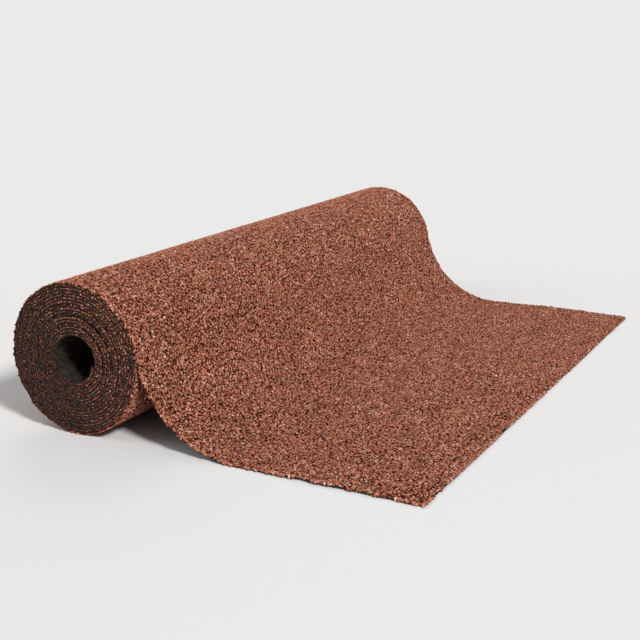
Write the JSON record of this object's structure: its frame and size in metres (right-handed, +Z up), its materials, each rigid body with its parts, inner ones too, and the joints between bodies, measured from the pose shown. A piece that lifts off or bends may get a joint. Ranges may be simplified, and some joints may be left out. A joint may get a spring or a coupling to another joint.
{
  "type": "roll of roofing felt",
  "caption": "Roll of mineral-surfaced bitumen roofing felt lying on the floor, its outer end swept down and laid flat beside it. Unrolls in strips to cover a roof.",
  "frame": {"origin": "on the floor, under the middle of the whole piece's box", "axes": "+Z up, +Y along the roll's bore, +X from the roll towards the loose end that lies flat"},
  "size_m": [0.6346, 1, 0.2187],
  "materials": {
    "mineral_felt": "matt brick-red mineral granules bedded in black bitumen on the outer face, dull dusted black bitumen on the under face and in the cut edges"
  },
  "bodies": {
    "root": {"felt_roll": "mineral_felt"}
  },
  "joints": []
}
